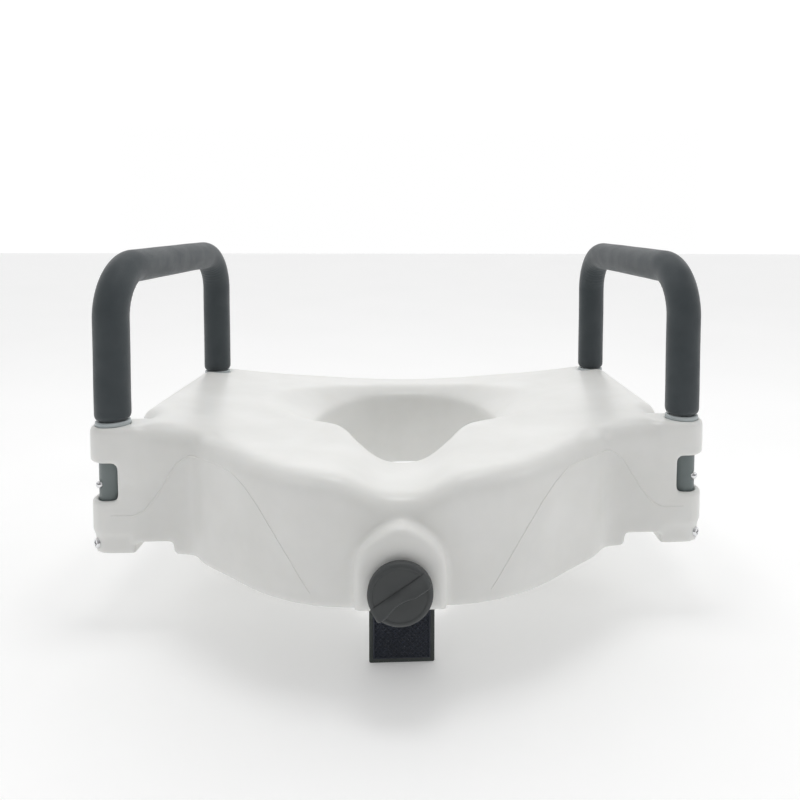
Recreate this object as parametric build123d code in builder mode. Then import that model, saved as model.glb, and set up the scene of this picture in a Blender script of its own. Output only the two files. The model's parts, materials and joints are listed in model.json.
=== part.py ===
from build123d import *
import os
from math import cos, exp, radians, sin, tan

# Raised toilet seat with removable padded arms and a front clamp.
# Millimetres.  +Z is up, -Y is the front and +X is the right-hand arm as seen
# from the front.  The origin lies on the plane of the bowl's rim, on the centre
# line, in the middle of the rear rim pad.

# ------------------------------------------------------------ driving sizes
# Seat body, a blow moulding
wall = 4.0
front_leg_x = 265.0              # half spacing of the arm legs at the front ...
rear_leg_x = 239.0               # ... and at the rear: the arms toe in
front_leg_y = -275.0
rear_leg_y = -8.0
body_half_width = 257.0          # between the front and rear sockets
shoulder_half_width = 243.0      # beside the front sockets
skirt_half_width = 207.0         # the skirt that wraps the bowl
front_reach = 120.0              # front wall, ahead of the front legs
rear_reach = 46.0                # rear wall, behind the rear legs
shoulder_reach = 18.5            # front wall of the wings, ahead of the front legs
step_margin = 10.0               # the side steps out this far behind a front socket ...
step_length = 18.0               # ... and does so over this length
corner_rounding = 33.5
skirt_set_in = 8.0               # skirt, inside the rear wall
channel_wall = 5.0               # round the opening, beside the channel for the bowl's rim
land_z = 3.0                     # underside of the seat, above the bowl's rim
skirt_drop = 10.0                # skirt, below the bowl's rim
top_edge_radius = 16.0
bottom_edge_radius = 5.0

# Sitting surface: heights at the front and rear legs
side_top_front = 112.5
side_top_rear = 103.0
middle_top_front = 91.0
middle_top_rear = 82.0
crown_power = 1.8                # how quickly the middle rises to the sides
trough_depth = 16.0              # dip at the front centre
trough_half_width = 31.0
trough_fade = 60.0
dish_depth = 14.0
dish_half_width = 150.0
dish_half_length = 112.0
dish_center_y = -128.0
dish_floor = 0.6                 # where the dish reaches its depth, at the opening
surface_steps = 32
surface_tolerance = 0.2
surface_margin = 40.0

# Opening
opening_front_y = -287.0
opening_rear_y = -42.0
opening_half_width = 92.0
opening_taper = 6.0              # degrees, wider towards the top

# Sockets for the arms
socket_top_front = 108.0
socket_top_rear = 98.0
upper_socket_radius = 19.5
lower_socket_radius = 18.4
foot_radius = 16.5
foot_length = 24.0               # from the leg's axis inwards
foot_top = 11.5
foot_bottom = -8.3
window_bottom = 41.4
window_top = 75.5
window_corner_radius = 3.5
window_inset = 9.3               # window's plane, inboard of the leg's axis
socket_edge_radius = 4.0
fastener_angle = 48.0            # buttons and screws, from the front or rear face

# Receiver tubes, collars and screws
receiver_outer_d = 25.4
receiver_wall = 1.2
receiver_bottom = -5.8
receiver_clearance = 0.3
collar_d = 30.4
collar_flange = 3.4
collar_edge = 0.8
collar_spigot = 7.0
collar_spigot_wall = 1.8
collar_clearance = 0.1
receiver_screw_z = 0.8
receiver_screw_d = 4.8
receiver_screw_length = 9.0
screw_head_d = 9.6
screw_head_height = 2.4
screw_seat_depth = 1.2           # flat under the head, into the foot
cross_recess_width = 1.4
cross_recess_length = 5.3
cross_recess_depth = 1.3

# Arms
arm_tube_d = 22.2
arm_tube_wall = 1.6
arm_clearance = 0.35             # in the receiver, each side
arm_leg_bottom = 14.0
arm_bar_z = 249.2
arm_bend_radius = 46.0
foam_outer_d = 31.8
foam_clearance = 0.05
foam_gap = 0.5
foam_edge = 2.5
plug_length = 11.0
plug_flange = 2.0
plug_clearance = 0.05

# Snap buttons and their springs
button_z = 54.3
button_d = 7.6
button_clearance = 0.15
button_proud = 3.6
button_flange_d = 9.4
button_flange = 1.2
button_flange_gap = 1.4
spring_thickness = 0.8
spring_width = 6.0
spring_height = 24.0

# Clamp: knob, screw, bracket and rubber pad
knob_z = 14.3
knob_d = 50.0
knob_thickness = 8.0
knob_edge_radius = 2.5
fin_thickness = 9.0
fin_height = 7.0
fin_angle = 34.0                 # degrees above level, rising to the right
boss_half_width = 36.0
boss_top = 62.0
boss_bottom = -5.0
boss_reach = 16.0                # ahead of the front wall
boss_edge_radius = 7.0
clamp_screw_d = 10.0
clamp_screw_head = 6.0
clamp_screw_head_flats = 16.0
screw_clearance = 0.3
thread_clearance = 0.06
turning_gap = 0.15
washer_d = 22.0
washer_thickness = 1.2
bush_wall = 2.0
bush_flange_d = 22.0
bush_flange = 1.2
clip_d = 17.0
clip_thickness = 1.5
screw_end_y = -322.0
tunnel_half_width = 31.0
tunnel_front_y = -381.0
tunnel_rear_y = -314.0
tunnel_top = 42.0
bracket_width = 55.5
bracket_bottom = -80.7
bracket_plate = 6.0
bracket_face_y = -349.0
bracket_block_depth = 18.0
bracket_block_width = 35.0
bracket_block_top = 36.0
bracket_edge_radius = 1.5
pad_thickness = 5.0
pad_side_border = 3.2
pad_bottom_border = 4.0
pad_corner_radius = 3.0
pad_clearance = 0.1
pad_recess = 2.5
pad_height = 62.0
nut_flats = 16.0
nut_thickness = 8.0
nut_clearance = 0.2

# Rim pads
rim_pad_length = 44.0
rim_pad_width = 16.0
rim_pad_recess = 1.0
rim_pad_side_x = 150.0
rim_pad_front_x = 105.0
blow_hole_d = 6.0
blow_hole_x = 120.0

# ------------------------------------------------------------ derived sizes
front_wall_y = front_leg_y - front_reach
rear_wall_y = rear_leg_y + rear_reach
shoulder_y = front_leg_y - shoulder_reach
boss_face_y = front_wall_y - boss_reach
skirt_bottom = -skirt_drop
receiver_inner_d = receiver_outer_d - 2 * receiver_wall
arm_tube_inner_d = arm_tube_d - 2 * arm_tube_wall
arm_bore_d = arm_tube_d + 2 * arm_clearance
socket_bore_d = receiver_outer_d + 2 * receiver_clearance
collar_bore_d = receiver_outer_d + 2 * collar_clearance
collar_spigot_d = collar_bore_d + 2 * collar_spigot_wall
knob_back_y = boss_face_y - bush_flange - washer_thickness
knob_front_y = knob_back_y - knob_thickness
bush_bore_d = clamp_screw_d + 2 * screw_clearance
bush_d = bush_bore_d + 2 * bush_wall
screw_seat_r = foot_radius - screw_seat_depth
window_reach = 2 * surface_margin
pad_middle_z = bracket_bottom + pad_bottom_border + pad_height / 2
pad_width = bracket_width - 2 * pad_side_border
rim_pad_names = ("rear", "side_left", "side_right", "front_left", "front_right")
rim_pad_places = (
    (0.0, 0.0, 0.0),
    (-rim_pad_side_x, dish_center_y, 90.0),
    (rim_pad_side_x, dish_center_y, 90.0),
    (-rim_pad_front_x, front_leg_y, 45.0),
    (rim_pad_front_x, front_leg_y, -45.0),
)
hand = {"left": -1, "right": 1}
legs = {
    "front": (front_leg_x, front_leg_y, socket_top_front, -1),
    "rear": (rear_leg_x, rear_leg_y, socket_top_rear, 1),
}
os.makedirs("parts", exist_ok=True)


def save(part, label):
    part.label = label
    export_step(part, f"parts/{label}.step")


def outward(side, end):
    """Direction in which a socket's buttons and screws point."""
    turn = radians(fastener_angle)
    return Vector(hand[side] * sin(turn), legs[end][3] * cos(turn), 0)


def leg_axis(side, end):
    x, y, top, facing = legs[end]
    return hand[side] * x, y, top


def radial_plane(side, end, z):
    """Plane on a leg's axis whose normal points out through the socket."""
    x, y, top = leg_axis(side, end)
    return Plane(origin=(x, y, z), x_dir=(0, 0, 1), z_dir=outward(side, end))


# ------------------------------------------------------------ seat body
def surface_height(x, y):
    along = (y - front_leg_y) / (rear_leg_y - front_leg_y)
    side = side_top_front + (side_top_rear - side_top_front) * along
    middle = middle_top_front + (middle_top_rear - middle_top_front) * along
    height = middle + (side - middle) * (abs(x) / shoulder_half_width) ** crown_power
    behind = max(y - dish_center_y, 0.0)
    fade = exp(-((behind / trough_fade) ** 2))
    height -= trough_depth * fade * exp(-((x / trough_half_width) ** 2))
    inside = 1.0 - (x / dish_half_width) ** 2 - ((y - dish_center_y) / dish_half_length) ** 2
    return height - dish_depth * max(inside, 0.0) ** 2 / dish_floor ** 2


def sitting_surface(drop):
    """The space under the sitting surface, lowered by drop."""
    half = front_leg_x + surface_margin
    front = boss_face_y - surface_margin
    length = rear_wall_y + surface_margin - front
    steps = range(surface_steps + 1)
    rows = []
    for row in steps:
        y = front + length * row / surface_steps
        columns = [-half + 2 * half * column / surface_steps for column in steps]
        rows.append([(x, y, surface_height(x, y) - drop) for x in columns])
    face = Face.make_surface_from_array_of_points(rows, tol=surface_tolerance)
    with BuildPart() as space:
        extrude(to_extrude=face, amount=2 * side_top_front, dir=(0, 0, -1))
    return space.part


def lobe_curve(inset):
    """Front of the body: a round lobe that meets the wings in a soft hollow."""
    half = skirt_half_width - inset
    front = front_wall_y + inset
    return Spline(
        (0, front),
        (0.34 * half, front + 5),
        (0.56 * half, front + 28),
        (0.73 * half, front + 59),
        (0.87 * half, front + 87),
        (half, shoulder_y + inset),
        tangents=((1, 0), (1, 0)),
    )


def body_outline(inset=0.0):
    """Plan of the seat body, or of its hollow when inset is the wall."""
    shoulder = shoulder_half_width - inset
    side = body_half_width - inset
    corner = rear_leg_x + upper_socket_radius - inset
    rear = rear_wall_y - inset
    step_y = front_leg_y + upper_socket_radius + step_margin + inset
    with BuildSketch() as outline:
        with BuildLine():
            lobe_curve(inset)
            Polyline(
                (skirt_half_width - inset, shoulder_y + inset),
                (shoulder, shoulder_y + inset),
                (shoulder, step_y),
                (side, step_y + step_length),
                (corner, rear_leg_y),
            )
            Spline(
                (corner, rear_leg_y),
                (corner - corner_rounding, rear - 16),
                (0.58 * corner, rear - 6),
                (0, rear),
                tangents=((0, 1), (-1, 0)),
            )
            Line((0, rear), (0, front_wall_y + inset))
        make_face()
        mirror(about=Plane.YZ)
    return outline.sketch


def skirt_outline(inset=0.0):
    """Plan of the skirt, which follows the front lobe and closes behind the bowl."""
    half = skirt_half_width - inset
    rear = rear_wall_y - skirt_set_in - inset
    with BuildSketch() as outline:
        with BuildLine():
            lobe_curve(inset)
            Line((half, shoulder_y + inset), (half, rear_leg_y - 60))
            Spline(
                (half, rear_leg_y - 60),
                (0.75 * half, rear - 16),
                (0, rear),
                tangents=((0, 1), (-1, 0)),
            )
            Line((0, rear), (0, front_wall_y + inset))
        make_face()
        mirror(about=Plane.YZ)
    return outline.sketch


def opening_outline(growth):
    """Egg-shaped opening at the rim plane, narrow at the front."""
    front = opening_front_y - growth
    rear = opening_rear_y + growth
    half = opening_half_width + growth
    widest_y = front + 0.62 * (rear - front)
    with BuildSketch() as outline:
        with BuildLine():
            Spline(
                (0, front),
                (0.55 * half, front + 0.16 * (rear - front)),
                (half, widest_y),
                tangents=((1, 0), (0, 1)),
            )
            Spline(
                (half, widest_y),
                (0.75 * half, rear - 0.12 * (rear - front)),
                (0, rear),
                tangents=((0, 1), (-1, 0)),
            )
            Line((0, rear), (0, front))
        make_face()
        mirror(about=Plane.YZ)
    return outline.sketch


def flared_opening(growth, bottom, top):
    """The opening as a solid that widens upwards, larger by growth all round."""
    flare = tan(radians(opening_taper))
    with BuildPart() as core:
        for level in (bottom, top):
            with BuildSketch(Plane.XY.offset(level)):
                add(opening_outline(growth + level * flare))
        loft()
    return core.part


def socket(side, end):
    """Upper and lower socket and the foot, round one leg."""
    x, y, top = leg_axis(side, end)
    inward = -hand[side]
    levels = (
        (upper_socket_radius, window_bottom + 20, top, foot_length + 4),
        (lower_socket_radius, foot_top, window_bottom + 22, foot_length + 2),
        (foot_radius, foot_bottom, foot_top + 1, foot_length),
    )
    with BuildPart() as block:
        for radius, bottom, level_top, length in levels:
            with BuildSketch(Plane.XY.offset(bottom)):
                with Locations((x, y)):
                    Circle(radius)
                with Locations((x + inward * length / 2, y)):
                    Rectangle(length, 2 * radius)
            extrude(amount=level_top - bottom)
        outer = block.faces().sort_by(Axis.Z)
        fillet(outer[-1].edges().filter_by(GeomType.CIRCLE), socket_edge_radius)
        fillet(outer[0].edges().filter_by(GeomType.CIRCLE), socket_edge_radius / 2)
    return block.part


ends = [(side, end) for side in hand for end in legs]

with BuildPart() as upper_body:
    with BuildSketch(Plane.XY.offset(land_z)):
        add(body_outline())
    extrude(amount=side_top_front + surface_margin)
    add(sitting_surface(0), mode=Mode.INTERSECT)
    top_rim = upper_body.edges().filter_by(lambda edge: edge.center().Z > middle_top_rear - 20)
    fillet(top_rim, top_edge_radius)

with BuildPart() as skirt:
    with BuildSketch(Plane.XY.offset(skirt_bottom)):
        add(skirt_outline())
    extrude(amount=skirt_drop + land_z + 2 * wall)
    fillet(skirt.faces().sort_by(Axis.Z)[0].edges(), bottom_edge_radius)

with BuildPart() as knob_boss:
    with BuildSketch(Plane.XZ.offset(-boss_face_y)):
        with Locations((0, boss_top - boss_half_width)):
            Circle(boss_half_width)
        with Locations((0, (boss_top - boss_half_width + boss_bottom) / 2)):
            Rectangle(2 * boss_half_width, boss_top - boss_half_width - boss_bottom)
        with Locations((0, boss_bottom - boss_half_width / 2)):
            Rectangle(2 * boss_half_width, boss_half_width, mode=Mode.SUBTRACT)
    extrude(amount=-(tunnel_front_y - boss_face_y))
    fillet(knob_boss.faces().sort_by(Axis.Y)[0].edges(), boss_edge_radius)

with BuildPart() as cavity:
    with BuildSketch(Plane.XY.offset(land_z + wall)):
        add(body_outline(wall))
    extrude(amount=side_top_front + surface_margin)
    add(sitting_surface(wall), mode=Mode.INTERSECT)
    hollow_rim = cavity.edges().filter_by(lambda edge: edge.center().Z > middle_top_rear - 24)
    fillet(hollow_rim, top_edge_radius - wall)
    with BuildSketch(Plane.XY.offset(land_z + wall)):
        for side, end in ends:
            x, y, top = leg_axis(side, end)
            reach = 2 * (upper_socket_radius + wall)
            with Locations((x, y - legs[end][3] * wall)):
                Rectangle(reach + 2 * wall, reach + 4 * wall)
    extrude(amount=side_top_front + surface_margin, mode=Mode.SUBTRACT)
    add(flared_opening(channel_wall + 1, skirt_bottom, side_top_front + surface_margin), mode=Mode.SUBTRACT)
    with BuildSketch(Plane.XY):
        with Locations((0, (front_wall_y + tunnel_rear_y + wall) / 2)):
            Rectangle(2 * (tunnel_half_width + wall), tunnel_rear_y + wall - front_wall_y)
    extrude(amount=tunnel_top + wall, mode=Mode.SUBTRACT)

with BuildPart() as seat_body:
    add(upper_body.part)
    add(skirt.part)
    add(knob_boss.part)
    for side, end in ends:
        add(socket(side, end))
    # Underside: a channel for the bowl's rim, between the skirt and the opening's wall
    with BuildSketch(Plane.XY.offset(skirt_bottom)):
        add(skirt_outline(2 * wall))
    extrude(amount=skirt_drop + land_z, mode=Mode.SUBTRACT)
    add(flared_opening(channel_wall, skirt_bottom, land_z + 2 * wall))
    add(flared_opening(0, skirt_bottom - 1, side_top_front + surface_margin), mode=Mode.SUBTRACT)
    # Slots for the rim pads, and the hollow with its blowing hole
    for x, y, turn in rim_pad_places:
        with BuildSketch(Plane.XY.offset(land_z)):
            with Locations(Location((x, y, 0), (0, 0, turn))):
                SlotOverall(rim_pad_length + 0.4, rim_pad_width + 0.4)
        extrude(amount=rim_pad_recess, mode=Mode.SUBTRACT)
    add(cavity.part, mode=Mode.SUBTRACT)
    with BuildSketch(Plane.XY.offset(land_z - 1)):
        with Locations((blow_hole_x, rear_leg_y - 20)):
            Circle(blow_hole_d / 2)
    extrude(amount=2 * wall, mode=Mode.SUBTRACT)
    # Tunnel for the clamp bracket and the bore for the clamp screw's bush
    with BuildSketch(Plane.XY.offset(skirt_bottom)):
        with Locations((0, (tunnel_front_y + tunnel_rear_y) / 2)):
            Rectangle(2 * tunnel_half_width, tunnel_rear_y - tunnel_front_y)
    extrude(amount=tunnel_top - skirt_bottom, mode=Mode.SUBTRACT)
    with BuildSketch(Plane.XZ.offset(-boss_face_y + 1)):
        with Locations((0, knob_z)):
            Circle(bush_d / 2)
    extrude(amount=-(tunnel_front_y - boss_face_y + 2), mode=Mode.SUBTRACT)
    # Sockets: bore, collar seat, window and the screw's hole and flat
    for side, end in ends:
        x, y, top = leg_axis(side, end)
        facing = legs[end][3]
        with BuildSketch(Plane.XY.offset(receiver_bottom)):
            with Locations((x, y)):
                Circle(socket_bore_d / 2)
        extrude(amount=top + surface_margin, mode=Mode.SUBTRACT)
        with BuildSketch(Plane.XY.offset(top - collar_spigot - collar_clearance)):
            with Locations((x, y)):
                Circle(collar_spigot_d / 2 + collar_clearance)
        extrude(amount=surface_margin, mode=Mode.SUBTRACT)
        with BuildSketch(Plane.XY.offset(top)):
            with Locations((x, y)):
                Circle(upper_socket_radius)
            with Locations((x + hand[side] * 20, y + facing * 20)):
                Rectangle(40 + 2 * window_inset, 40 + 2 * upper_socket_radius)
        extrude(amount=surface_margin, mode=Mode.SUBTRACT)
        with BuildSketch(Plane.XZ.offset(-(y - facing * upper_socket_radius))):
            middle_x = x + hand[side] * (window_reach / 2 - window_inset)
            with Locations((middle_x, (window_bottom + window_top) / 2)):
                RectangleRounded(window_reach, window_top - window_bottom, window_corner_radius)
        extrude(amount=-facing * window_reach, mode=Mode.SUBTRACT)
        with BuildSketch(radial_plane(side, end, receiver_screw_z)):
            Circle(receiver_screw_d / 2 + screw_clearance)
        extrude(amount=foot_radius + 1, mode=Mode.SUBTRACT)
        with BuildSketch(radial_plane(side, end, receiver_screw_z).offset(screw_seat_r)):
            Circle(screw_head_d / 2 + screw_clearance)
        extrude(amount=2 * screw_head_height, mode=Mode.SUBTRACT)
save(seat_body.part, "seat_body")

# ------------------------------------------------------------ sockets' fittings
for side, end in ends:
    x, y, top = leg_axis(side, end)
    with BuildPart() as receiver:
        with BuildSketch(Plane(origin=(x, y, receiver_bottom))):
            Circle(receiver_outer_d / 2)
            Circle(receiver_inner_d / 2, mode=Mode.SUBTRACT)
        extrude(amount=top - receiver_bottom)
        with BuildSketch(radial_plane(side, end, button_z)):
            Circle(button_d / 2 + button_clearance)
        extrude(amount=receiver_outer_d, mode=Mode.SUBTRACT)
        with BuildSketch(radial_plane(side, end, receiver_screw_z)):
            Circle(receiver_screw_d / 2)
        extrude(amount=receiver_outer_d, mode=Mode.SUBTRACT)
    save(receiver.part, f"receiver_tube_{end}_{side}")

    with BuildPart() as collar:
        with BuildSketch(Plane(origin=(x, y, top))):
            Circle(collar_d / 2)
            Circle(arm_bore_d / 2, mode=Mode.SUBTRACT)
        extrude(amount=collar_flange)
        with BuildSketch(Plane(origin=(x, y, top))):
            Circle(collar_spigot_d / 2)
            Circle(collar_bore_d / 2, mode=Mode.SUBTRACT)
        extrude(amount=-collar_spigot)
        chamfer(collar.edges().group_by(Axis.Z)[-1], collar_edge)
    save(collar.part, f"socket_collar_{end}_{side}")

with BuildPart() as receiver_screws:
    for side, end in ends:
        seat_plane = radial_plane(side, end, receiver_screw_z).offset(screw_seat_r)
        with BuildSketch(seat_plane):
            Circle(screw_head_d / 2)
        extrude(amount=screw_head_height, taper=12)
        with BuildSketch(seat_plane):
            Circle(receiver_screw_d / 2)
        extrude(amount=-(receiver_screw_length))
        with BuildSketch(seat_plane.offset(screw_head_height)):
            Rectangle(cross_recess_length, cross_recess_width)
            Rectangle(cross_recess_width, cross_recess_length)
        extrude(amount=-cross_recess_depth, mode=Mode.SUBTRACT)
save(receiver_screws.part, "receiver_screws")

# ------------------------------------------------------------ arms
for side in hand:
    front_x, front_y, front_top = leg_axis(side, "front")
    rear_x, rear_y, rear_top = leg_axis(side, "rear")

    def arm_tube(outer_d, inner_d, front_z, rear_z):
        """A length of the arm's bent tube, from one leg over the bar to the other."""
        with BuildPart() as tube:
            with BuildLine():
                FilletPolyline(
                    (front_x, front_y, front_z),
                    (front_x, front_y, arm_bar_z),
                    (rear_x, rear_y, arm_bar_z),
                    (rear_x, rear_y, rear_z),
                    radius=arm_bend_radius,
                )
            with BuildSketch(Plane(origin=(front_x, front_y, front_z))):
                Circle(outer_d / 2)
                Circle(inner_d / 2, mode=Mode.SUBTRACT)
            sweep()
        return tube.part

    with BuildPart() as arm:
        add(arm_tube(arm_tube_d, arm_tube_inner_d, arm_leg_bottom, arm_leg_bottom))
        for end in legs:
            with BuildSketch(radial_plane(side, end, button_z)):
                Circle(button_d / 2 + button_clearance)
            extrude(amount=arm_tube_d, mode=Mode.SUBTRACT)
    save(arm.part, f"arm_tube_{side}")

    with BuildPart() as foam:
        add(
            arm_tube(
                foam_outer_d,
                arm_tube_d + 2 * foam_clearance,
                front_top + collar_flange + foam_gap,
                rear_top + collar_flange + foam_gap,
            )
        )
        rims = foam.faces().filter_by(GeomType.PLANE).edges()
        chamfer(rims.filter_by(lambda edge: edge.radius > arm_tube_d / 2 + 1), foam_edge)
    save(foam.part, f"foam_grip_{side}")

# ------------------------------------------------------------ buttons and leg ends
button_seat_r = arm_tube_inner_d / 2 - button_flange_gap
button_tip_r = receiver_outer_d / 2 + button_proud
for side, end in ends:
    x, y, top = leg_axis(side, end)
    with BuildPart() as button:
        with BuildSketch(radial_plane(side, end, button_z).offset(button_seat_r)):
            Circle(button_flange_d / 2)
        extrude(amount=-button_flange)
        with BuildSketch(radial_plane(side, end, button_z).offset(button_seat_r)):
            Circle(button_d / 2)
        extrude(amount=button_tip_r - button_seat_r)
        tip = button.faces().sort_by(lambda face: face.center().dot(outward(side, end)))[-1]
        fillet(tip.edges(), 0.48 * button_d)
    save(button.part, f"snap_button_{end}_{side}")

    spring_x = button_seat_r - button_flange - spring_thickness / 2
    spring_plane = Plane(
        origin=(x, y, button_z),
        x_dir=outward(side, end),
        z_dir=outward(side, end).cross(Vector(0, 0, 1)),
    )
    with BuildPart() as spring:
        with BuildSketch(spring_plane):
            with BuildLine():
                FilletPolyline(
                    (spring_x, 5.0),
                    (spring_x, -5.0),
                    (0.2 * spring_x, -spring_height),
                    (-0.2 * spring_x, -spring_height),
                    (-spring_x, -4.0),
                    radius=1.6,
                )
            trace(line_width=spring_thickness)
        extrude(amount=spring_width / 2, both=True)
    save(spring.part, f"button_spring_{end}_{side}")

    with BuildPart() as plug:
        with BuildSketch(Plane(origin=(x, y, arm_leg_bottom))):
            Circle(arm_tube_inner_d / 2 - plug_clearance)
        extrude(amount=plug_length)
        with BuildSketch(Plane(origin=(x, y, arm_leg_bottom))):
            Circle(arm_tube_d / 2)
        extrude(amount=-plug_flange)
    save(plug.part, f"leg_plug_{end}_{side}")

# ------------------------------------------------------------ clamp
def facing_front(y):
    """A plane across the clamp screw's axis at y, its normal to the front."""
    return Plane(origin=(0, y, knob_z), x_dir=(1, 0, 0), z_dir=(0, -1, 0))


with BuildPart() as screw_bush:
    with BuildSketch(facing_front(boss_face_y)):
        Circle(bush_flange_d / 2)
        Circle(bush_bore_d / 2, mode=Mode.SUBTRACT)
    extrude(amount=bush_flange)
    with BuildSketch(facing_front(boss_face_y)):
        Circle(bush_d / 2)
        Circle(bush_bore_d / 2, mode=Mode.SUBTRACT)
    extrude(amount=-(tunnel_front_y - boss_face_y))
save(screw_bush.part, "screw_bush")

with BuildPart() as knob_washer:
    with BuildSketch(facing_front(knob_back_y)):
        Circle(washer_d / 2)
        Circle(clamp_screw_d / 2 + screw_clearance / 3, mode=Mode.SUBTRACT)
    extrude(amount=-(washer_thickness - turning_gap))
save(knob_washer.part, "knob_washer")

with BuildPart() as clamp_knob:
    with BuildSketch(facing_front(knob_back_y)):
        Circle(knob_d / 2)
    extrude(amount=knob_thickness)
    fillet(clamp_knob.faces().sort_by(Axis.Y)[0].edges(), knob_edge_radius)
    with BuildSketch(facing_front(knob_front_y)):
        with Locations(Location((0, 0, 0), (0, 0, fin_angle))):
            SlotOverall(knob_d - 5, fin_thickness)
    extrude(amount=fin_height, taper=12)
    with BuildSketch(facing_front(knob_back_y)):
        RegularPolygon(clamp_screw_head_flats / 2, 6, major_radius=False)
    extrude(amount=clamp_screw_head, mode=Mode.SUBTRACT)
save(clamp_knob.part, "clamp_knob")

with BuildPart() as clamp_screw:
    with BuildSketch(facing_front(knob_back_y)):
        RegularPolygon(clamp_screw_head_flats / 2 - nut_clearance / 2, 6, major_radius=False)
    extrude(amount=clamp_screw_head - nut_clearance / 2)
    with BuildSketch(facing_front(knob_back_y)):
        Circle(clamp_screw_d / 2)
    extrude(amount=-(screw_end_y - knob_back_y))
    chamfer(clamp_screw.faces().sort_by(Axis.Y)[-1].edges(), 1.2)
save(clamp_screw.part, "clamp_screw")

with BuildPart() as retaining_clip:
    with BuildSketch(facing_front(tunnel_front_y + turning_gap)):
        Circle(clip_d / 2)
        Circle(clamp_screw_d / 2, mode=Mode.SUBTRACT)
        with Locations((0, -clip_d / 2)):
            Rectangle(0.6 * clamp_screw_d, clip_d / 2, mode=Mode.SUBTRACT)
    extrude(amount=-clip_thickness)
save(retaining_clip.part, "retaining_clip")

nut_front_y = bracket_face_y + (bracket_block_depth - nut_thickness) / 2
with BuildPart() as clamp_bracket:
    with BuildSketch(Plane.XZ.offset(-bracket_face_y)):
        with Locations((0, (bracket_bottom + bracket_block_top) / 2)):
            Rectangle(bracket_width, bracket_block_top - bracket_bottom)
    extrude(amount=-bracket_plate)
    with BuildSketch(Plane.XZ.offset(-bracket_face_y)):
        with Locations((0, knob_z)):
            Rectangle(bracket_block_width, 2 * (bracket_block_top - knob_z))
    extrude(amount=-bracket_block_depth)
    corners = clamp_bracket.edges().filter_by(Axis.Y).group_by(Axis.Z)[0]
    fillet(corners, bracket_edge_radius)
    with BuildSketch(Plane.XZ.offset(-bracket_face_y)):
        with Locations((0, pad_middle_z)):
            Rectangle(pad_width, pad_height)
    extrude(amount=-pad_recess, mode=Mode.SUBTRACT)
    with BuildSketch(facing_front(bracket_face_y)):
        Circle(clamp_screw_d / 2 + screw_clearance)
    extrude(amount=-bracket_block_depth, mode=Mode.SUBTRACT)
    with BuildSketch(facing_front(nut_front_y)):
        RegularPolygon(nut_flats / 2 + nut_clearance, 6, major_radius=False)
        with Locations((0, nut_flats)):
            Rectangle(nut_flats + 2 * nut_clearance, 2 * nut_flats)
    extrude(amount=-(nut_thickness + nut_clearance), mode=Mode.SUBTRACT)
save(clamp_bracket.part, "clamp_bracket")

with BuildPart() as clamp_nut:
    with BuildSketch(facing_front(nut_front_y)):
        RegularPolygon(nut_flats / 2, 6, major_radius=False)
        Circle(clamp_screw_d / 2 + thread_clearance, mode=Mode.SUBTRACT)
    extrude(amount=-nut_thickness)
save(clamp_nut.part, "clamp_nut")

with BuildPart() as clamp_pad:
    with BuildSketch(Plane.XZ.offset(-(bracket_face_y + pad_recess))):
        with Locations((0, pad_middle_z)):
            RectangleRounded(pad_width - 2 * pad_clearance, pad_height - 2 * pad_clearance, pad_corner_radius)
    extrude(amount=pad_thickness)
save(clamp_pad.part, "clamp_pad")

# ------------------------------------------------------------ rim pads
for name, (x, y, turn) in zip(rim_pad_names, rim_pad_places):
    with BuildPart() as rim_pad:
        with BuildSketch(Plane.XY):
            with Locations(Location((x, y, 0), (0, 0, turn))):
                SlotOverall(rim_pad_length, rim_pad_width)
        extrude(amount=land_z + rim_pad_recess)
    save(rim_pad.part, f"rim_pad_{name}")
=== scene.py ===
import json
from math import cos, pi, radians, sin

import bmesh
import bpy
import numpy as np
from mathutils import Matrix, Vector
from mathutils.bvhtree import BVHTree

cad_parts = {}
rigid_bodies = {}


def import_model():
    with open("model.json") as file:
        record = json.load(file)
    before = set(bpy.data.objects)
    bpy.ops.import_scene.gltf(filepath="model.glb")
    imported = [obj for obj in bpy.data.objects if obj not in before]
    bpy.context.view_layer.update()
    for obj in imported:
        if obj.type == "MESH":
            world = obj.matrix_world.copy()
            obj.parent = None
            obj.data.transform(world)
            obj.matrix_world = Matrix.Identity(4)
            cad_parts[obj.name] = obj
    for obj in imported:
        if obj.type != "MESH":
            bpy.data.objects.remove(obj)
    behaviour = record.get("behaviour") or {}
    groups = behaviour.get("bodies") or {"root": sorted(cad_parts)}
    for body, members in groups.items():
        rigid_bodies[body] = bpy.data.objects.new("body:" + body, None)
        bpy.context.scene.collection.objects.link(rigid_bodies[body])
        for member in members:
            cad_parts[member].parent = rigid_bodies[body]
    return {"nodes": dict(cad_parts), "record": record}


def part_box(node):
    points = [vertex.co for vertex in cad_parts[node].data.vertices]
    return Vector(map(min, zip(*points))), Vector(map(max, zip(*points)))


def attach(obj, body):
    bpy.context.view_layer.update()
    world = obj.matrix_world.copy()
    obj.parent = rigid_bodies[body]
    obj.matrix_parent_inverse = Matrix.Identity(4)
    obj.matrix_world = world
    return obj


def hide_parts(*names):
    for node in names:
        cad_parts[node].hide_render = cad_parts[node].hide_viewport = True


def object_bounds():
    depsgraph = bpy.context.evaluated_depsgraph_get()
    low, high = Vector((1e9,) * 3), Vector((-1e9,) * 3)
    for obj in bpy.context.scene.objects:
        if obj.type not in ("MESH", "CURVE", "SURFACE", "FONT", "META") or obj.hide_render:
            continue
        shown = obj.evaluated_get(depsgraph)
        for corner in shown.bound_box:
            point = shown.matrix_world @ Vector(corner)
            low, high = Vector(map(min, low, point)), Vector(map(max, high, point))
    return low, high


# Looks of the raised toilet seat. Metres, in the frame of the CAD model:
# -Y is the front, +X the right-hand arm as seen from the front, +Z up.

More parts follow.
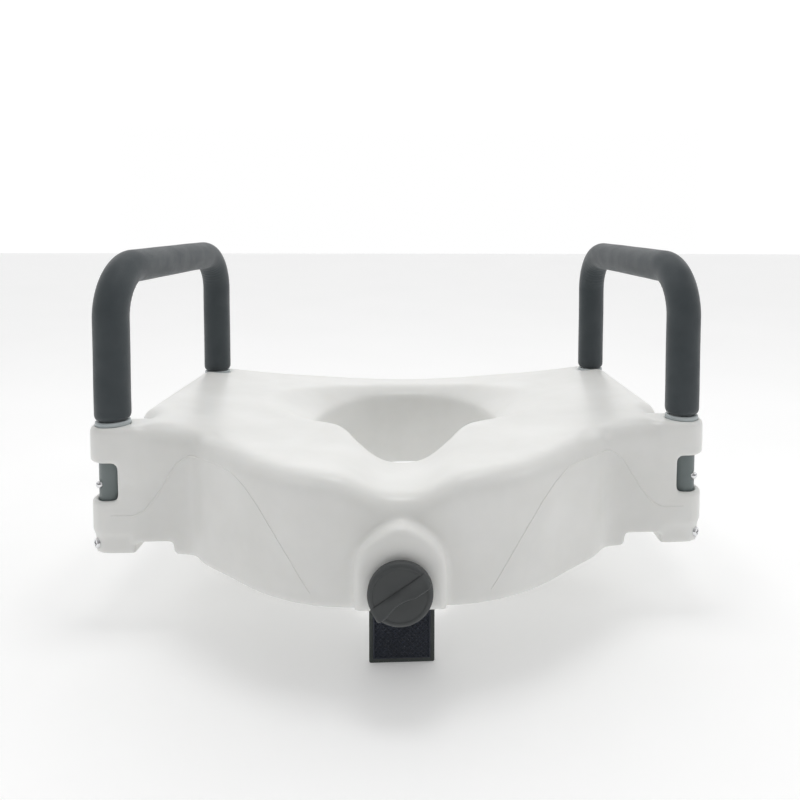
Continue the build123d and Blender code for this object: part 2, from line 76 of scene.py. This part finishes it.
for old in list(bpy.data.objects):
    bpy.data.objects.remove(old)
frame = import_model()
cad_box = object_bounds()
nodes = frame["nodes"]
scene = bpy.context.scene
SIDES = {"left": -1, "right": 1}
ENDS = ("front", "rear")


def box_middle(node):
    low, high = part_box(node)
    return (low + high) / 2


def leg_axis(side, end):
    """Where a leg stands, from the middle of its collar."""
    middle = box_middle(f"socket_collar_{end}_{side}")
    return middle.x, middle.y


# ------------------------------------------------------------ camera
CAMERA_PLACE = (0.0107, -0.9764, 0.3023)
CAMERA_TURN = (3.22, 3.31, 0.26)  # degrees to the right, down and clockwise
CAMERA_SHIFT = (-0.072, -0.180)
LENS = 34.15


def make_camera():
    yaw, pitch, roll = (radians(angle) for angle in CAMERA_TURN)
    forward = Vector((sin(yaw) * cos(pitch), cos(yaw) * cos(pitch), -sin(pitch)))
    level = Vector((cos(yaw), -sin(yaw), 0))
    upward = level.cross(forward)
    right = level * cos(roll) + upward * sin(roll)
    up = upward * cos(roll) - level * sin(roll)
    data = bpy.data.cameras.new("camera")
    data.lens = LENS
    data.shift_x, data.shift_y = CAMERA_SHIFT
    data.clip_start = 0.02
    data.clip_end = 30
    camera = bpy.data.objects.new("camera", data)
    turn = Matrix((right, up, -forward)).transposed().to_4x4()
    camera.matrix_world = Matrix.Translation(CAMERA_PLACE) @ turn
    scene.collection.objects.link(camera)
    scene.camera = camera


# ------------------------------------------------------------ materials
def shader(name, color, roughness, metallic=0.0):
    material = bpy.data.materials.new(name)
    material.use_nodes = True
    principled = material.node_tree.nodes["Principled BSDF"]
    principled.inputs["Base Color"].default_value = (*color, 1)
    principled.inputs["Roughness"].default_value = roughness
    principled.inputs["Metallic"].default_value = metallic
    return material, material.node_tree, principled


def object_noise(tree, scale, detail=4.0, rough=0.55, stretch=(1, 1, 1)):
    """A noise texture in the object's own metres."""
    place = tree.nodes.new("ShaderNodeTexCoord")
    mapping = tree.nodes.new("ShaderNodeMapping")
    mapping.inputs["Scale"].default_value = stretch
    noise = tree.nodes.new("ShaderNodeTexNoise")
    noise.inputs["Scale"].default_value = scale
    noise.inputs["Detail"].default_value = detail
    noise.inputs["Roughness"].default_value = rough
    tree.links.new(place.outputs["Object"], mapping.inputs["Vector"])
    tree.links.new(mapping.outputs["Vector"], noise.inputs["Vector"])
    return noise.outputs["Fac"]


def to_range(tree, value, low, high, start=0.3, end=0.7):
    """Maps a value that runs from start to end onto low to high."""
    node = tree.nodes.new("ShaderNodeMapRange")
    node.inputs["From Min"].default_value = start
    node.inputs["From Max"].default_value = end
    node.inputs["To Min"].default_value = low
    node.inputs["To Max"].default_value = high
    tree.links.new(value, node.inputs["Value"])
    return node.outputs["Result"]


def mottle(tree, principled, value, dark, light):
    """Colour that wanders between two shades."""
    ramp = tree.nodes.new("ShaderNodeValToRGB")
    ramp.color_ramp.elements[0].position = 0.3
    ramp.color_ramp.elements[0].color = (*dark, 1)
    ramp.color_ramp.elements[1].position = 0.7
    ramp.color_ramp.elements[1].color = (*light, 1)
    tree.links.new(value, ramp.inputs["Fac"])
    tree.links.new(ramp.outputs["Color"], principled.inputs["Base Color"])


def bump(tree, principled, layers):
    """Stacks (value, height in metres) layers of relief on the surface normal."""
    normal = None
    for value, height in layers:
        node = tree.nodes.new("ShaderNodeBump")
        node.inputs["Strength"].default_value = 1.0
        node.inputs["Distance"].default_value = height
        tree.links.new(value, node.inputs["Height"])
        if normal:
            tree.links.new(normal, node.inputs["Normal"])
        normal = node.outputs["Normal"]
    tree.links.new(normal, principled.inputs["Normal"])


def plastic(name, dark, light, roughness, grain, relief, swing=0.08, waves=9.0, wave_height=0.0):
    """Moulded plastic: a little mottled, with fine grain and slow waves in its skin."""
    material, tree, principled = shader(name, light, roughness)
    mottle(tree, principled, object_noise(tree, 14.0), dark, light)
    patches = object_noise(tree, 32.0, 5.0)
    rough = to_range(tree, patches, roughness - swing, roughness + swing)
    tree.links.new(rough, principled.inputs["Roughness"])
    layers = [(object_noise(tree, grain, 3.0), relief)]
    if wave_height:
        layers.append((object_noise(tree, waves, 2.0), wave_height))
    bump(tree, principled, layers)
    return material


def metal(name, dark, light, roughness, stretch, relief):
    """Metal with a drawn or polished grain."""
    material, tree, principled = shader(name, light, roughness, metallic=1.0)
    grain = object_noise(tree, 180.0, 6.0, stretch=stretch)
    mottle(tree, principled, grain, dark, light)
    rough = to_range(tree, grain, roughness * 0.75, roughness * 1.3)
    tree.links.new(rough, principled.inputs["Roughness"])
    bump(tree, principled, [(grain, relief)])
    return material


def foam_material():
    """Closed-cell foam skin: tiny pores over a soft, uneven surface."""
    dark, light = (0.043, 0.053, 0.059), (0.050, 0.061, 0.067)
    material, tree, principled = shader("foam_skin", light, 0.62)
    mottle(tree, principled, object_noise(tree, 45.0, 6.0), dark, light)
    cells = tree.nodes.new("ShaderNodeTexVoronoi")
    cells.inputs["Scale"].default_value = 1500.0
    place = tree.nodes.new("ShaderNodeTexCoord")
    tree.links.new(place.outputs["Object"], cells.inputs["Vector"])
    pores = to_range(tree, cells.outputs["Distance"], 0.0, 1.0, 0.1, 0.6)
    tree.links.new(to_range(tree, object_noise(tree, 60.0), 0.5, 0.7), principled.inputs["Roughness"])
    bump(tree, principled, [(pores, 0.00006), (object_noise(tree, 120.0, 5.0), 0.00012)])
    principled.inputs["Sheen Weight"].default_value = 0.25
    principled.inputs["Sheen Roughness"].default_value = 0.4
    principled.inputs["Specular IOR Level"].default_value = 0.4
    return material


def body_material():
    """The seat's white plastic, which lets a little light into its skin."""
    material = plastic(
        "white_polyethylene",
        (0.80, 0.80, 0.775),
        (0.87, 0.87, 0.85),
        0.33,
        grain=700.0,
        relief=0.00003,
        waves=16.0,
        wave_height=0.0006,
        swing=0.025,
    )
    principled = material.node_tree.nodes["Principled BSDF"]
    principled.inputs["Subsurface Weight"].default_value = 0.08
    principled.inputs["Subsurface Radius"].default_value = (0.006, 0.005, 0.004)
    principled.inputs["Specular IOR Level"].default_value = 0.45
    return material


# One material for each slot of the record
FINISHES = {
    "white_moulding": body_material(),
    "foam": foam_material(),
    "arm_tube": metal(
        "satin_tube", (0.42, 0.43, 0.44), (0.60, 0.61, 0.62), 0.34, (1, 1, 0.05), 0.00002
    ),
    "grey_tube": plastic(
        "painted_tube", (0.13, 0.16, 0.16), (0.19, 0.22, 0.22), 0.38, 260.0, 0.00003
    ),
    "grey_collar": plastic(
        "grey_collar", (0.43, 0.48, 0.49), (0.54, 0.58, 0.59), 0.42, 500.0, 0.00003
    ),
    "bright_metal": metal(
        "polished_plate", (0.66, 0.67, 0.69), (0.84, 0.84, 0.85), 0.13, (1, 1, 1), 0.000006
    ),
    "zinc_steel": metal(
        "zinc_plate", (0.46, 0.46, 0.44), (0.66, 0.66, 0.63), 0.36, (1, 0.2, 1), 0.00001
    ),
    "black_plastic": plastic(
        "black_plastic", (0.022, 0.022, 0.023), (0.036, 0.036, 0.037), 0.45, 420.0, 0.00004
    ),
    "grey_rubber": plastic(
        "grey_rubber", (0.14, 0.14, 0.14), (0.21, 0.21, 0.21), 0.74, 300.0, 0.0001
    ),
    "navy_rubber": plastic(
        "navy_rubber", (0.006, 0.010, 0.020), (0.011, 0.017, 0.032), 0.52, 650.0, 0.00004
    ),
    "knob_plastic": plastic(
        "knob_plastic", (0.046, 0.050, 0.051), (0.058, 0.063, 0.064), 0.50, 900.0, 0.00005
    ),
    "bracket_plastic": plastic(
        "bracket_plastic", (0.038, 0.047, 0.044), (0.052, 0.062, 0.058), 0.48, 600.0, 0.00004
    ),
}


def dress(piece, slot):
    piece.data.materials.clear()
    piece.data.materials.append(FINISHES[slot])


def shade_smooth(piece):
    piece.data.polygons.foreach_set("use_smooth", [True] * len(piece.data.polygons))
    piece.data.update()


def link(name, mesh):
    piece = bpy.data.objects.new(name, mesh)
    scene.collection.objects.link(piece)
    return piece


def to_piece(name, shape):
    """Turns a finished bmesh into an object."""
    bmesh.ops.recalc_face_normals(shape, faces=shape.faces)
    mesh = bpy.data.meshes.new(name)
    shape.to_mesh(mesh)
    shape.free()
    return link(name, mesh)


def add_ring(shape, centre, first, second, radii):
    """A ring of points round a centre, one for each radius, that turns from first towards second."""
    ring = []
    for k, radius in enumerate(radii):
        angle = 2 * pi * k / len(radii)
        ring.append(shape.verts.new(centre + (first * cos(angle) + second * sin(angle)) * radius))
    return ring


def bridge(shape, ring, following):
    """Closes the band between two rings."""
    for k in range(len(ring)):
        after = (k + 1) % len(ring)
        shape.faces.new((ring[k], ring[after], following[after], following[k]))


def apply_modifiers(piece):
    """Bakes a piece's modifiers into its mesh."""
    graph = bpy.context.evaluated_depsgraph_get()
    mesh = bpy.data.meshes.new_from_object(piece.evaluated_get(graph))
    piece.modifiers.clear()
    piece.data = mesh


def read_points(mesh):
    points = np.empty(len(mesh.vertices) * 3)
    mesh.vertices.foreach_get("co", points)
    return points.reshape(-1, 3)


def write_points(mesh, points):
    mesh.vertices.foreach_set("co", points.reshape(-1))
    mesh.update()


# ------------------------------------------------------------ seat shell
VOXEL = 0.0022
BORE_RADIUS = 0.01305  # of the space that the receiver tubes stand in
PLUG_RADIUS = 0.009  # nothing nearer to a leg's axis is moved
DISH_MIDDLE_Y = -0.128
DISH_HALF = (0.150, 0.112)
DISH_FULL = 0.6  # where the dish has its full depth, from 0 at its edge to 1 in its middle
DISH_DEPTH, DISH_POWER = 0.024, 1.3
DIP_DEPTH, DIP_HALF_WIDTH, DIP_POWER = 0.0158, 0.036, 3
DIP_REACH = 0.060
SHOULDER_RISE = 0.0055
SHOULDER_PLACE = (0.058, -0.250)
SHOULDER_SIZE = (0.024, 0.036)
# The same two hollows as the CAD body has them
CAD_DISH_DEPTH, CAD_DISH_POWER = 0.014, 2
CAD_DIP_DEPTH, CAD_DIP_HALF_WIDTH = 0.016, 0.031


def soften_seat(points):
    """Deepens the dish, rounds the front dip into a U and raises a shoulder each side of it."""
    x, y, z = points.T
    inside = 1 - (x / DISH_HALF[0]) ** 2 - ((y - DISH_MIDDLE_Y) / DISH_HALF[1]) ** 2
    inside = np.clip(inside, 0, 0.75) / DISH_FULL
    dish = DISH_DEPTH * inside**DISH_POWER - CAD_DISH_DEPTH * inside**CAD_DISH_POWER
    dip = DIP_DEPTH * np.exp(-((np.abs(x) / DIP_HALF_WIDTH) ** DIP_POWER))
    dip -= CAD_DIP_DEPTH * np.exp(-((x / CAD_DIP_HALF_WIDTH) ** 2))
    dip *= np.exp(-((np.clip(y - DISH_MIDDLE_Y, 0, None) / DIP_REACH) ** 2))
    shoulder = ((np.abs(x) - SHOULDER_PLACE[0]) / SHOULDER_SIZE[0]) ** 2
    shoulder += ((y - SHOULDER_PLACE[1]) / SHOULDER_SIZE[1]) ** 2
    upper = np.clip((z - 0.02) / 0.045, 0, 1)
    points[:, 2] = z + (SHOULDER_RISE * np.exp(-shoulder) - np.clip(dish, 0, None) - dip) * upper
    return points


def soft_share(points):
    """How far each point takes part in rounding the upper edges: none near the legs and the boss."""
    lowest, fading = 0.045, 0.020
    boss_half_width, boss_depth, boss_top = 0.044, 0.02, 0.066
    x, y, z = points.T
    share = np.clip((z - lowest) / fading, 0, 1)
    boss_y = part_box("clamp_bracket")[0].y - boss_depth
    share[(np.abs(x) < boss_half_width) & (y < boss_y) & (z < boss_top)] = 0
    for side in SIDES:
        for end in ENDS:
            leg_x, leg_y = leg_axis(side, end)
            away = np.hypot(x - leg_x, y - leg_y)
            share *= np.clip((away - 0.027) / 0.014, 0, 1)
    return share


def clear_bores(points):
    """Keeps the softened wall out of the receiver tubes."""
    for side in SIDES:
        for end in ENDS:
            x, y = leg_axis(side, end)
            away = points[:, :2] - (x, y)
            distance = np.maximum(np.hypot(away[:, 0], away[:, 1]), 1e-6)
            inside = (distance < BORE_RADIUS) & (distance > PLUG_RADIUS)
            points[inside, :2] += away[inside] * (BORE_RADIUS / distance[inside] - 1)[:, None]
    return points


def smooth(piece, factor, iterations, group=""):
    modifier = piece.modifiers.new("smooth", "SMOOTH")
    modifier.factor = factor
    modifier.iterations = iterations
    modifier.vertex_group = group


def make_seat():
    """The hollow body: the CAD shell in small cells, so that its edges can be rounded as one skin."""
    shell = link("seat_shell", nodes["seat_body"].data.copy())
    welded = bmesh.new()
    welded.from_mesh(shell.data)
    bmesh.ops.remove_doubles(welded, verts=welded.verts, dist=1e-6)
    welded.to_mesh(shell.data)
    welded.free()
    remesh = shell.modifiers.new("remesh", "REMESH")
    remesh.mode = "VOXEL"
    remesh.voxel_size = VOXEL
    smooth(shell, 0.5, 6)
    apply_modifiers(shell)
    write_points(shell.data, soften_seat(read_points(shell.data)))
    upper = shell.vertex_groups.new(name="upper_edges")
    share = np.round(soft_share(read_points(shell.data)), 1)
    for level in np.unique(share[share > 0]):
        upper.add(np.flatnonzero(share == level).tolist(), float(level), "REPLACE")
    smooth(shell, 0.5, 30, upper.name)
    apply_modifiers(shell)
    write_points(shell.data, clear_bores(read_points(shell.data)))
    shade_smooth(shell)
    dress(shell, "white_moulding")
    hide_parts("seat_body")
    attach(shell, "seat")
    return shell


# The parting line's course, as distance from the middle and height, from a leg to the lobe's lower edge
PARTING_COURSE = (
    (0.262, 0.028),
    (0.242, 0.028),
    (0.232, 0.033),
    (0.223, 0.044),
    (0.213, 0.060),
    (0.204, 0.075),
    (0.192, 0.083),
    (0.176, 0.086),
    (0.158, 0.086),
    (0.143, 0.084),
    (0.129, 0.076),
    (0.116, 0.063),
    (0.103, 0.046),
    (0.090, 0.028),
    (0.078, 0.010),
    (0.070, -0.001),
)
PARTING_RADIUS = 0.0009
PARTING_SUNK = 0.0004  # how deep the bead's middle lies in the wall


def parting_places(front, hand, parts=4):
    """Where the parting line's course meets the front wall of the body."""
    places = []
    for start, end in zip(PARTING_COURSE, PARTING_COURSE[1:]):
        for step in range(parts):
            share = step / parts
            x = hand * (start[0] + (end[0] - start[0]) * share)
            z = start[1] + (end[1] - start[1]) * share
            hit, normal, *_ = front.ray_cast(Vector((x, -1, z)), Vector((0, 1, 0)))
            if hit:
                places.append(hit - normal * PARTING_SUNK)
    return places


def make_parting_line(shell):
    """The raised line where the two halves of the mould met, on the front of each wing and the lobe."""
    front = BVHTree.FromObject(shell, bpy.context.evaluated_depsgraph_get())
    for side, hand in SIDES.items():
        data = bpy.data.curves.new(f"mould_parting_line_{side}", "CURVE")
        data.dimensions = "3D"
        data.bevel_depth = PARTING_RADIUS
        data.bevel_resolution = 2
        spline = data.splines.new("NURBS")
        places = parting_places(front, hand)
        spline.points.add(len(places) - 1)
        for point, place in zip(spline.points, places):
            point.co = (*place, 1)
        spline.use_endpoint_u = True
        spline.order_u = 4
        curve = link(f"parting_line_curve_{side}", data)
        mesh = bpy.data.meshes.new_from_object(curve)
        bpy.data.objects.remove(curve)
        line = link(f"mould_parting_line_{side}", mesh)
        shade_smooth(line)
        dress(line, "white_moulding")
        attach(line, "seat")


# ------------------------------------------------------------ foam grips
FOAM_STEP = 0.0016
AROUND = 72
TUBE_RADIUS = 0.0111
FOAM_HOLLOW = 0.0112
FOAM_END = 0.006  # the length of the rounded end
FOAM_LIFT = 0.0006  # above its collar
ARM_BEND = 0.046
WRINKLE = 0.00045
WRINKLE_PITCHES = (0.0058, 0.0037)


def arm_path(side, bottom, bend):
    """The foam's centre line, as (point, how far into a bend, way to its inside), front to rear."""
    front, rear = (Vector((*leg_axis(side, end), 0)) for end in ENDS)
    bar_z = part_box(f"arm_tube_{side}")[1].z - TUBE_RADIUS
    level = (rear - front).normalized()
    up = Vector((0, 0, 1))
    corner_front = front + up * bar_z
    corner_rear = rear + up * bar_z
    points = []

    def straight(start, end, inside):
        count = max(2, int((end - start).length / FOAM_STEP))
        points.extend((start + (end - start) * k / count, 0.0, inside) for k in range(count))

    def corner(middle, first, second):
        count = int(bend * pi / 2 / FOAM_STEP)
        for k in range(count):
            angle = k / count * pi / 2
            place = middle - second * bend * cos(angle) + first * bend * sin(angle)
            points.append((place, sin(2 * angle), (middle - place).normalized()))

    straight(front + up * bottom["front"], corner_front - up * bend, level)
    corner(corner_front - up * bend + level * bend, up, level)
    straight(corner_front + level * bend, corner_rear - level * bend, -up)
    corner(corner_rear - level * bend - up * bend, level, -up)
    straight(corner_rear - up * bend, rear + up * bottom["rear"], -level)
    points.append((rear + up * bottom["rear"], 0.0, -level))
    return points


def foam_radius(base, along, total, bent, angle_to_inside):
    """The foam's outer radius: rounded ends, slack wrinkles inside each bend, a slight unevenness."""
    end = min(along, total - along)
    radius = base
    if end < FOAM_END:
        radius -= 0.0038 * (1 - (1 - (1 - end / FOAM_END) ** 2) ** 0.5)
    inner = max(cos(angle_to_inside), 0) ** 2
    turns = along * 2 * pi
    folds = sin(turns / WRINKLE_PITCHES[0]) + 0.6 * sin(turns / WRINKLE_PITCHES[1] + 1.3)
    radius += bent * inner * WRINKLE * folds
    radius += 0.00012 * sin(along * 61 + 3 * angle_to_inside) * sin(along * 23 + 1)
    return radius


def make_foam(side):
    """A foam sleeve, swept along its arm from collar to collar."""
    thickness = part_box(f"foam_grip_{side}")[1].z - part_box(f"arm_tube_{side}")[1].z
    base = TUBE_RADIUS + thickness - 0.0001
    bottom = {end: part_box(f"socket_collar_{end}_{side}")[1].z + FOAM_LIFT for end in ENDS}
    path = arm_path(side, bottom, ARM_BEND)
    lengths = [0.0]
    for start, end in zip(path, path[1:]):
        lengths.append(lengths[-1] + (end[0] - start[0]).length)
    sleeve = bmesh.new()
    rings = []
    for place, (point, bent, inside) in enumerate(path):
        ahead = path[min(place + 1, len(path) - 1)][0] - path[max(place - 1, 0)][0]
        tangent = ahead.normalized()
        inward = (inside - tangent * inside.dot(tangent)).normalized()
        across = tangent.cross(inward)
        angles = (2 * pi * k / AROUND for k in range(AROUND))
        radii = [foam_radius(base, lengths[place], lengths[-1], bent, angle) for angle in angles]
        ring = add_ring(sleeve, point, inward, across, radii)
        if rings:
            bridge(sleeve, rings[-1][0], ring)
        rings.append((ring, point, inward, across))
    for ring, point, inward, across in (rings[0], rings[-1]):
        bridge(sleeve, ring, add_ring(sleeve, point, inward, across, [FOAM_HOLLOW] * AROUND))
    grip = to_piece(f"foam_sleeve_{side}", sleeve)
    shade_smooth(grip)
    dress(grip, "foam")
    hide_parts(f"foam_grip_{side}")
    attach(grip, f"arm_{side}")


# ------------------------------------------------------------ clamp
KNOB_AROUND = 128
KNOB_THICKNESS = 0.008
KNOB_BORE = 0.0111
FACE_SUNK = 0.0005  # the face lies this far behind the rim
GRIP_SLOPE = 34  # degrees, rising to the right
GRIP_STEPS = 40


def add_knob_disc(knob, middle, radius, back_y, face_y):
    """The turned disc: a rounded rim with a sunk face."""
    seat_y = face_y + FACE_SUNK
    profile = (
        (KNOB_BORE, back_y - 0.0001),
        (radius - 0.0008, back_y - 0.0001),
        (radius - 0.0002, back_y - 0.0006),
        (radius, back_y - 0.0014),
        (radius, face_y + 0.0022),
        (radius - 0.0004, face_y + 0.0013),
        (radius - 0.0018, face_y + 0.0003),
        (radius - 0.0024, face_y),
        (radius - 0.0040, face_y + 0.0001),
        (radius - 0.0044, seat_y),
        (radius * 0.5, seat_y),
    )
    right, up = Vector((1, 0, 0)), Vector((0, 0, 1))
    rings = []
    for distance, y in profile:
        centre = Vector((middle.x, y, middle.z))
        rings.append(add_ring(knob, centre, right, up, [distance] * KNOB_AROUND))
    for ring, following in zip(rings, rings[1:]):
        bridge(knob, ring, following)
    tip = knob.verts.new((middle.x, seat_y, middle.z))
    for k in range(KNOB_AROUND):
        knob.faces.new((rings[-1][k], rings[-1][(k + 1) % KNOB_AROUND], tip))


def add_knob_grip(knob, middle, radius, face_y, rise):
    """The grip across the face: straight along its upper side, curved and highest along its lower."""
    slope = radians(GRIP_SLOPE)
    along = Vector((cos(slope), 0, sin(slope)))
    over = Vector((-sin(slope), 0, cos(slope)))
    base = 0.0042
    sections = []
    for step in range(GRIP_STEPS + 1):
        share = -1 + 2 * step / GRIP_STEPS
        ridge = base - 0.0066 - 0.0030 * min(1, abs(share + 0.12) * 1.9) ** 2
        ends = 1 - max(0.0, abs(share) - 0.88) / 0.12
        height = rise * (0.35 + 0.65 * max(ends, 0.0) ** 0.5)
        corners = (
            (base, 0.0),
            (base - 0.0002, 0.16 * height),
            (ridge + 0.0016, 0.94 * height),
            (ridge + 0.0010, height),
            (ridge, 0.97 * height),
            (ridge - 0.0005, 0.86 * height),
            (ridge - 0.0008, 0.0),
        )
        origin = Vector((middle.x, 0, middle.z)) + along * (share * (radius - 0.0003))
        section = []
        for across, up in corners:
            place = origin + over * across
            section.append(knob.verts.new((place.x, face_y + FACE_SUNK + 0.0001 - up, place.z)))
        sections.append(section)
    for section, following in zip(sections, sections[1:]):
        for k in range(len(section) - 1):
            knob.faces.new((section[k], section[k + 1], following[k + 1], following[k]))
    knob.faces.new(sections[0])
    knob.faces.new(sections[-1])


def make_knob():
    """A thin round knob with a bevelled rim and a swept grip across its face."""
    low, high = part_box("clamp_knob")
    middle = (low + high) / 2
    radius = (high.x - low.x) / 2
    face_y = high.y - KNOB_THICKNESS
    knob = bmesh.new()
    add_knob_disc(knob, middle, radius, high.y, face_y)
    add_knob_grip(knob, middle, radius, face_y, face_y - low.y)
    piece = to_piece("turning_knob", knob)
    bevel = piece.modifiers.new("bevel", "BEVEL")
    bevel.width = 0.0004
    bevel.segments = 2
    bevel.limit_method = "ANGLE"
    bevel.angle_limit = radians(35)
    bevel.harden_normals = True
    apply_modifiers(piece)
    shade_smooth(piece)
    piece.data.set_sharp_from_angle(angle=radians(35))
    dress(piece, "knob_plastic")
    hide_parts("clamp_knob")
    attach(piece, "knob")


PAD_STEP = 0.0005
PAD_PITCH = 0.0045  # of the lattice
PAD_BORDER = 0.0018
PAD_RELIEF = 0.0009
PAD_ROUNDING = 0.0010


def pad_depth(x, z, rim):
    """How far the pad's face lies behind its front, at a point that is rim away from its outline."""
    first = abs(((x + z) / PAD_PITCH) % 1 - 0.5) * 2
    second = abs(((x - z) / PAD_PITCH) % 1 - 0.5) * 2
    ridge = max(min((max(first, second) - 0.62) / 0.25, 1), 0)
    level = 1.0 if rim < PAD_BORDER else ridge
    return PAD_RELIEF * (1 - level) + PAD_ROUNDING * max(0, 1 - rim / PAD_ROUNDING) ** 2


def make_pad():
    """The rubber pad, with a diamond lattice moulded into its face."""
    low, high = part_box("clamp_pad")
    columns = int((high.x - low.x) / PAD_STEP)
    rows = int((high.z - low.z) / PAD_STEP)
    pad = bmesh.new()
    grid = []
    for row in range(rows + 1):
        line = []
        for column in range(columns + 1):
            x = low.x + (high.x - low.x) * column / columns
            z = low.z + (high.z - low.z) * row / rows
            rim = min(x - low.x, high.x - x, z - low.z, high.z - z)
            line.append(pad.verts.new((x, low.y + pad_depth(x, z, rim), z)))
        grid.append(line)
    for lower, upper in zip(grid, grid[1:]):
        for k in range(columns):
            pad.faces.new((lower[k], lower[k + 1], upper[k + 1], upper[k]))
    outline = [edge for edge in pad.edges if edge.is_boundary]
    for item in bmesh.ops.extrude_edge_only(pad, edges=outline)["geom"]:
        if isinstance(item, bmesh.types.BMVert):
            item.co.y = high.y - 0.0001
    bmesh.ops.contextual_create(pad, geom=[edge for edge in pad.edges if edge.is_boundary])
    piece = to_piece("grip_pad", pad)
    shade_smooth(piece)
    piece.data.set_sharp_from_angle(angle=radians(50))
    dress(piece, "navy_rubber")
    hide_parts("clamp_pad")
    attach(piece, "bracket")


# ------------------------------------------------------------ studio
LAMP_SIZE = 0.5
LAMPS = {
    "left": ((-1.5, -1.3, 1.3), 2.0),
    "right": ((1.6, -1.0, 1.2), 3.0),
    "top": ((0.0, -0.25, 1.7), 4.6),
}
LAMP_TARGET = (0, -0.2, 0.05)


def light_room(tree):
    """A pale room that is dim at the front and bright behind, above and at both sides."""
    place = tree.nodes.new("ShaderNodeTexCoord")
    parts = tree.nodes.new("ShaderNodeSeparateXYZ")
    tree.links.new(place.outputs["Generated"], parts.inputs["Vector"])
    behind = to_range(tree, parts.outputs["Y"], 0.07, 1.0, -0.2, 0.85)
    above = to_range(tree, parts.outputs["Z"], 0.0, 0.40, 0.1, 0.8)
    sideways = tree.nodes.new("ShaderNodeMath")
    sideways.operation = "ABSOLUTE"
    tree.links.new(parts.outputs["X"], sideways.inputs[0])
    beside = to_range(tree, sideways.outputs[0], 0.0, 0.30, 0.35, 0.95)
    total = behind
    for share in (above, beside):
        summed = tree.nodes.new("ShaderNodeMath")
        summed.operation = "ADD"
        tree.links.new(total, summed.inputs[0])
        tree.links.new(share, summed.inputs[1])
        total = summed.outputs[0]
    background = tree.nodes["Background"]
    background.inputs["Color"].default_value = (1, 1, 1, 1)
    tree.links.new(total, background.inputs["Strength"])


def make_floor():
    floor_mesh = bpy.data.meshes.new("floor")
    plane = bmesh.new()
    bmesh.ops.create_grid(plane, x_segments=2, y_segments=2, size=6)
    plane.to_mesh(floor_mesh)
    plane.free()
    floor = link("floor", floor_mesh)
    floor.location = (0, 0, cad_box[0].z - 0.0005)
    material, tree, principled = shader("pale_floor", (0.92, 0.92, 0.92), 0.7)
    mottle(tree, principled, object_noise(tree, 3.0), (0.90, 0.90, 0.90), (0.93, 0.93, 0.93))
    principled.inputs["Emission Color"].default_value = (1, 1, 1, 1)
    principled.inputs["Emission Strength"].default_value = 0.17
    floor.data.materials.append(material)


def make_studio():
    """A plain pale floor in a pale room, with three soft lamps."""
    make_floor()
    scene.view_settings.view_transform = "Standard"
    world = bpy.data.worlds.new("studio")
    scene.world = world
    world.use_nodes = True
    light_room(world.node_tree)
    for name, (place, power) in LAMPS.items():
        data = bpy.data.lights.new(name, "AREA")
        data.size = LAMP_SIZE
        data.energy = power
        lamp = bpy.data.objects.new(name, data)
        lamp.location = place
        aim = Vector(LAMP_TARGET) - Vector(place)
        lamp.rotation_mode = "QUATERNION"
        lamp.rotation_quaternion = aim.to_track_quat("-Z", "Y")
        scene.collection.objects.link(lamp)


make_camera()
for entry in frame["record"]["subparts"]:
    dress(nodes[entry["node"]], entry["material_slot"])
seat_shell = make_seat()
make_parting_line(seat_shell)
for side in SIDES:
    make_foam(side)
make_knob()
make_pad()
make_studio()
